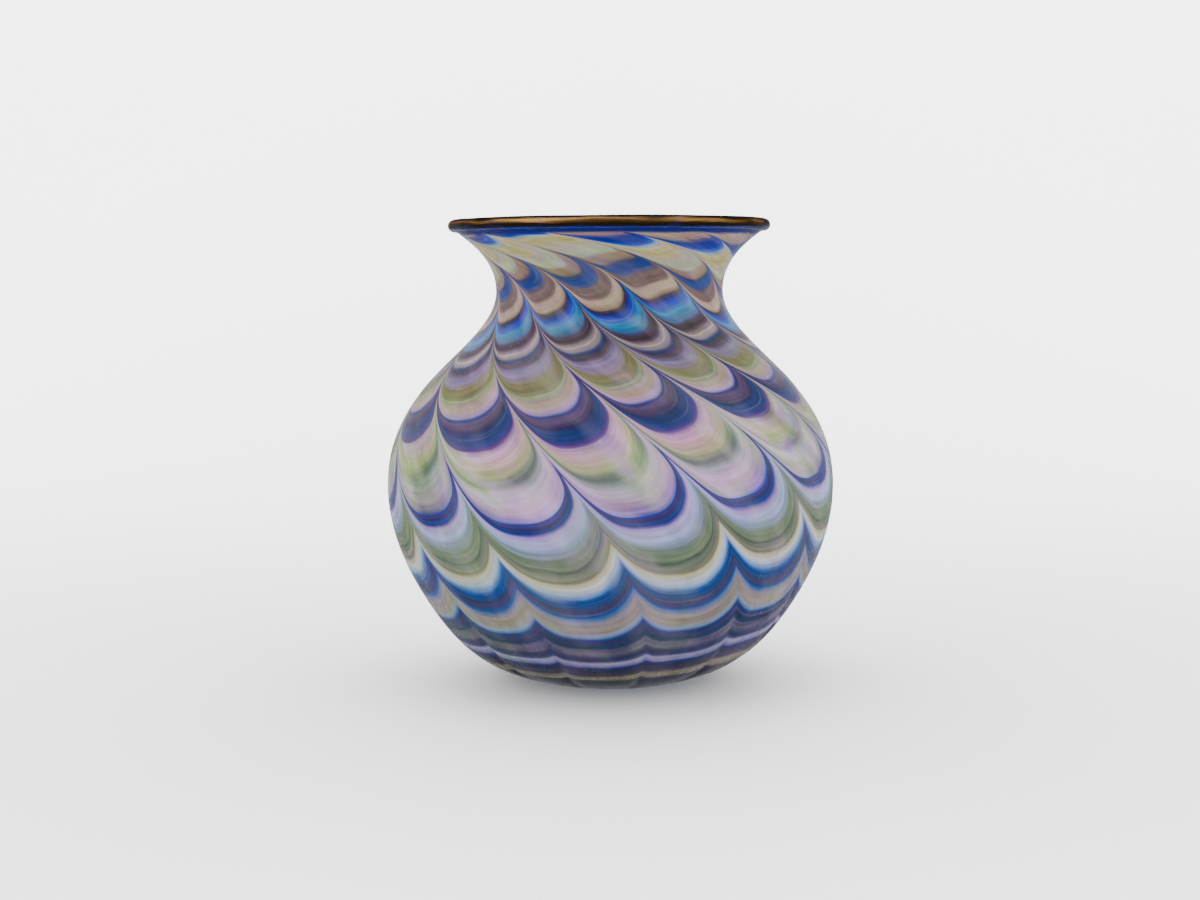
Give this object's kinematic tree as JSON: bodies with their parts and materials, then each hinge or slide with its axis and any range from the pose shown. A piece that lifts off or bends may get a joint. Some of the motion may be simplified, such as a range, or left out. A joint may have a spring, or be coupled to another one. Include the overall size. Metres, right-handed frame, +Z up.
{
  "type": "art glass vase",
  "caption": "Bulbous hand blown vase with a narrow neck, flared wrapped lip and combed coloured glass threads leaning up its surface.",
  "frame": {"origin": "on the vertical axis at the plane the ground foot rests on", "axes": "+Z up along the axis from foot to mouth, -Y towards the viewer of the front"},
  "size_m": [0.1428, 0.1428, 0.1461],
  "materials": {
    "body_glass": "glossy dark cobalt",
    "lip_wrap_glass": "bronze metallic lustre",
    "thread_01_indigo_foot_glass": "satin iridescent lustre",
    "thread_02_khaki_glass": "satin iridescent lustre",
    "thread_03_low_plum_glass": "satin iridescent lustre",
    "thread_04_low_lilac_glass": "satin iridescent lustre",
    "thread_05_indigo_glass": "satin iridescent lustre",
    "thread_06_mauve_grey_glass": "satin iridescent lustre",
    "thread_07_slate_teal_glass": "satin iridescent lustre",
    "thread_08_sand_glass": "satin iridescent lustre",
    "thread_09_slate_cobalt_glass": "satin iridescent lustre",
    "thread_10_white_cream_glass": "satin iridescent lustre",
    "thread_11_sage_glass": "satin iridescent lustre",
    "thread_12_lavender_glass": "satin iridescent lustre",
    "thread_13_midnight_glass": "satin iridescent lustre",
    "thread_14_pearl_glass": "satin iridescent lustre",
    "thread_15_citron_glass": "satin iridescent lustre",
    "thread_16_rose_glass": "satin iridescent lustre",
    "thread_17_royal_blue_glass": "satin iridescent lustre",
    "thread_18_plum_brown_glass": "satin iridescent lustre",
    "thread_19_blush_cream_glass": "satin iridescent lustre",
    "thread_20_olive_glass": "satin iridescent lustre",
    "thread_21_lilac_grey_glass": "satin iridescent lustre",
    "thread_22_umber_navy_glass": "satin iridescent lustre",
    "thread_23_pale_pink_glass": "satin iridescent lustre",
    "thread_24_dark_brown_glass": "satin iridescent lustre",
    "thread_25_cyan_glass": "satin iridescent lustre",
    "thread_26_deep_blue_glass": "satin iridescent lustre",
    "thread_27_neck_cream_glass": "satin iridescent lustre",
    "thread_28_mauve_brown_glass": "satin iridescent lustre",
    "thread_29_neck_cobalt_glass": "satin iridescent lustre",
    "thread_30_copper_glass": "satin iridescent lustre",
    "thread_31_pale_olive_glass": "satin iridescent lustre",
    "thread_32_upper_cobalt_glass": "satin iridescent lustre",
    "thread_33_blush_under_lip_glass": "satin iridescent lustre"
  },
  "bodies": {
    "root": {"body": "body_glass", "lip_wrap": "lip_wrap_glass", "thread_01_indigo_foot": "thread_01_indigo_foot_glass", "thread_02_khaki": "thread_02_khaki_glass", "thread_03_low_plum": "thread_03_low_plum_glass", "thread_04_low_lilac": "thread_04_low_lilac_glass", "thread_05_indigo": "thread_05_indigo_glass", "thread_06_mauve_grey": "thread_06_mauve_grey_glass", "thread_07_slate_teal": "thread_07_slate_teal_glass", "thread_08_sand": "thread_08_sand_glass", "thread_09_slate_cobalt": "thread_09_slate_cobalt_glass", "thread_10_white_cream": "thread_10_white_cream_glass", "thread_11_sage": "thread_11_sage_glass", "thread_12_lavender": "thread_12_lavender_glass", "thread_13_midnight": "thread_13_midnight_glass", "thread_14_pearl": "thread_14_pearl_glass", "thread_15_citron": "thread_15_citron_glass", "thread_16_rose": "thread_16_rose_glass", "thread_17_royal_blue": "thread_17_royal_blue_glass", "thread_18_plum_brown": "thread_18_plum_brown_glass", "thread_19_blush_cream": "thread_19_blush_cream_glass", "thread_20_olive": "thread_20_olive_glass", "thread_21_lilac_grey": "thread_21_lilac_grey_glass", "thread_22_umber_navy": "thread_22_umber_navy_glass", "thread_23_pale_pink": "thread_23_pale_pink_glass", "thread_24_dark_brown": "thread_24_dark_brown_glass", "thread_25_cyan": "thread_25_cyan_glass", "thread_26_deep_blue": "thread_26_deep_blue_glass", "thread_27_neck_cream": "thread_27_neck_cream_glass", "thread_28_mauve_brown": "thread_28_mauve_brown_glass", "thread_29_neck_cobalt": "thread_29_neck_cobalt_glass", "thread_30_copper": "thread_30_copper_glass", "thread_31_pale_olive": "thread_31_pale_olive_glass", "thread_32_upper_cobalt": "thread_32_upper_cobalt_glass", "thread_33_blush_under_lip": "thread_33_blush_under_lip_glass"}
  },
  "joints": []
}
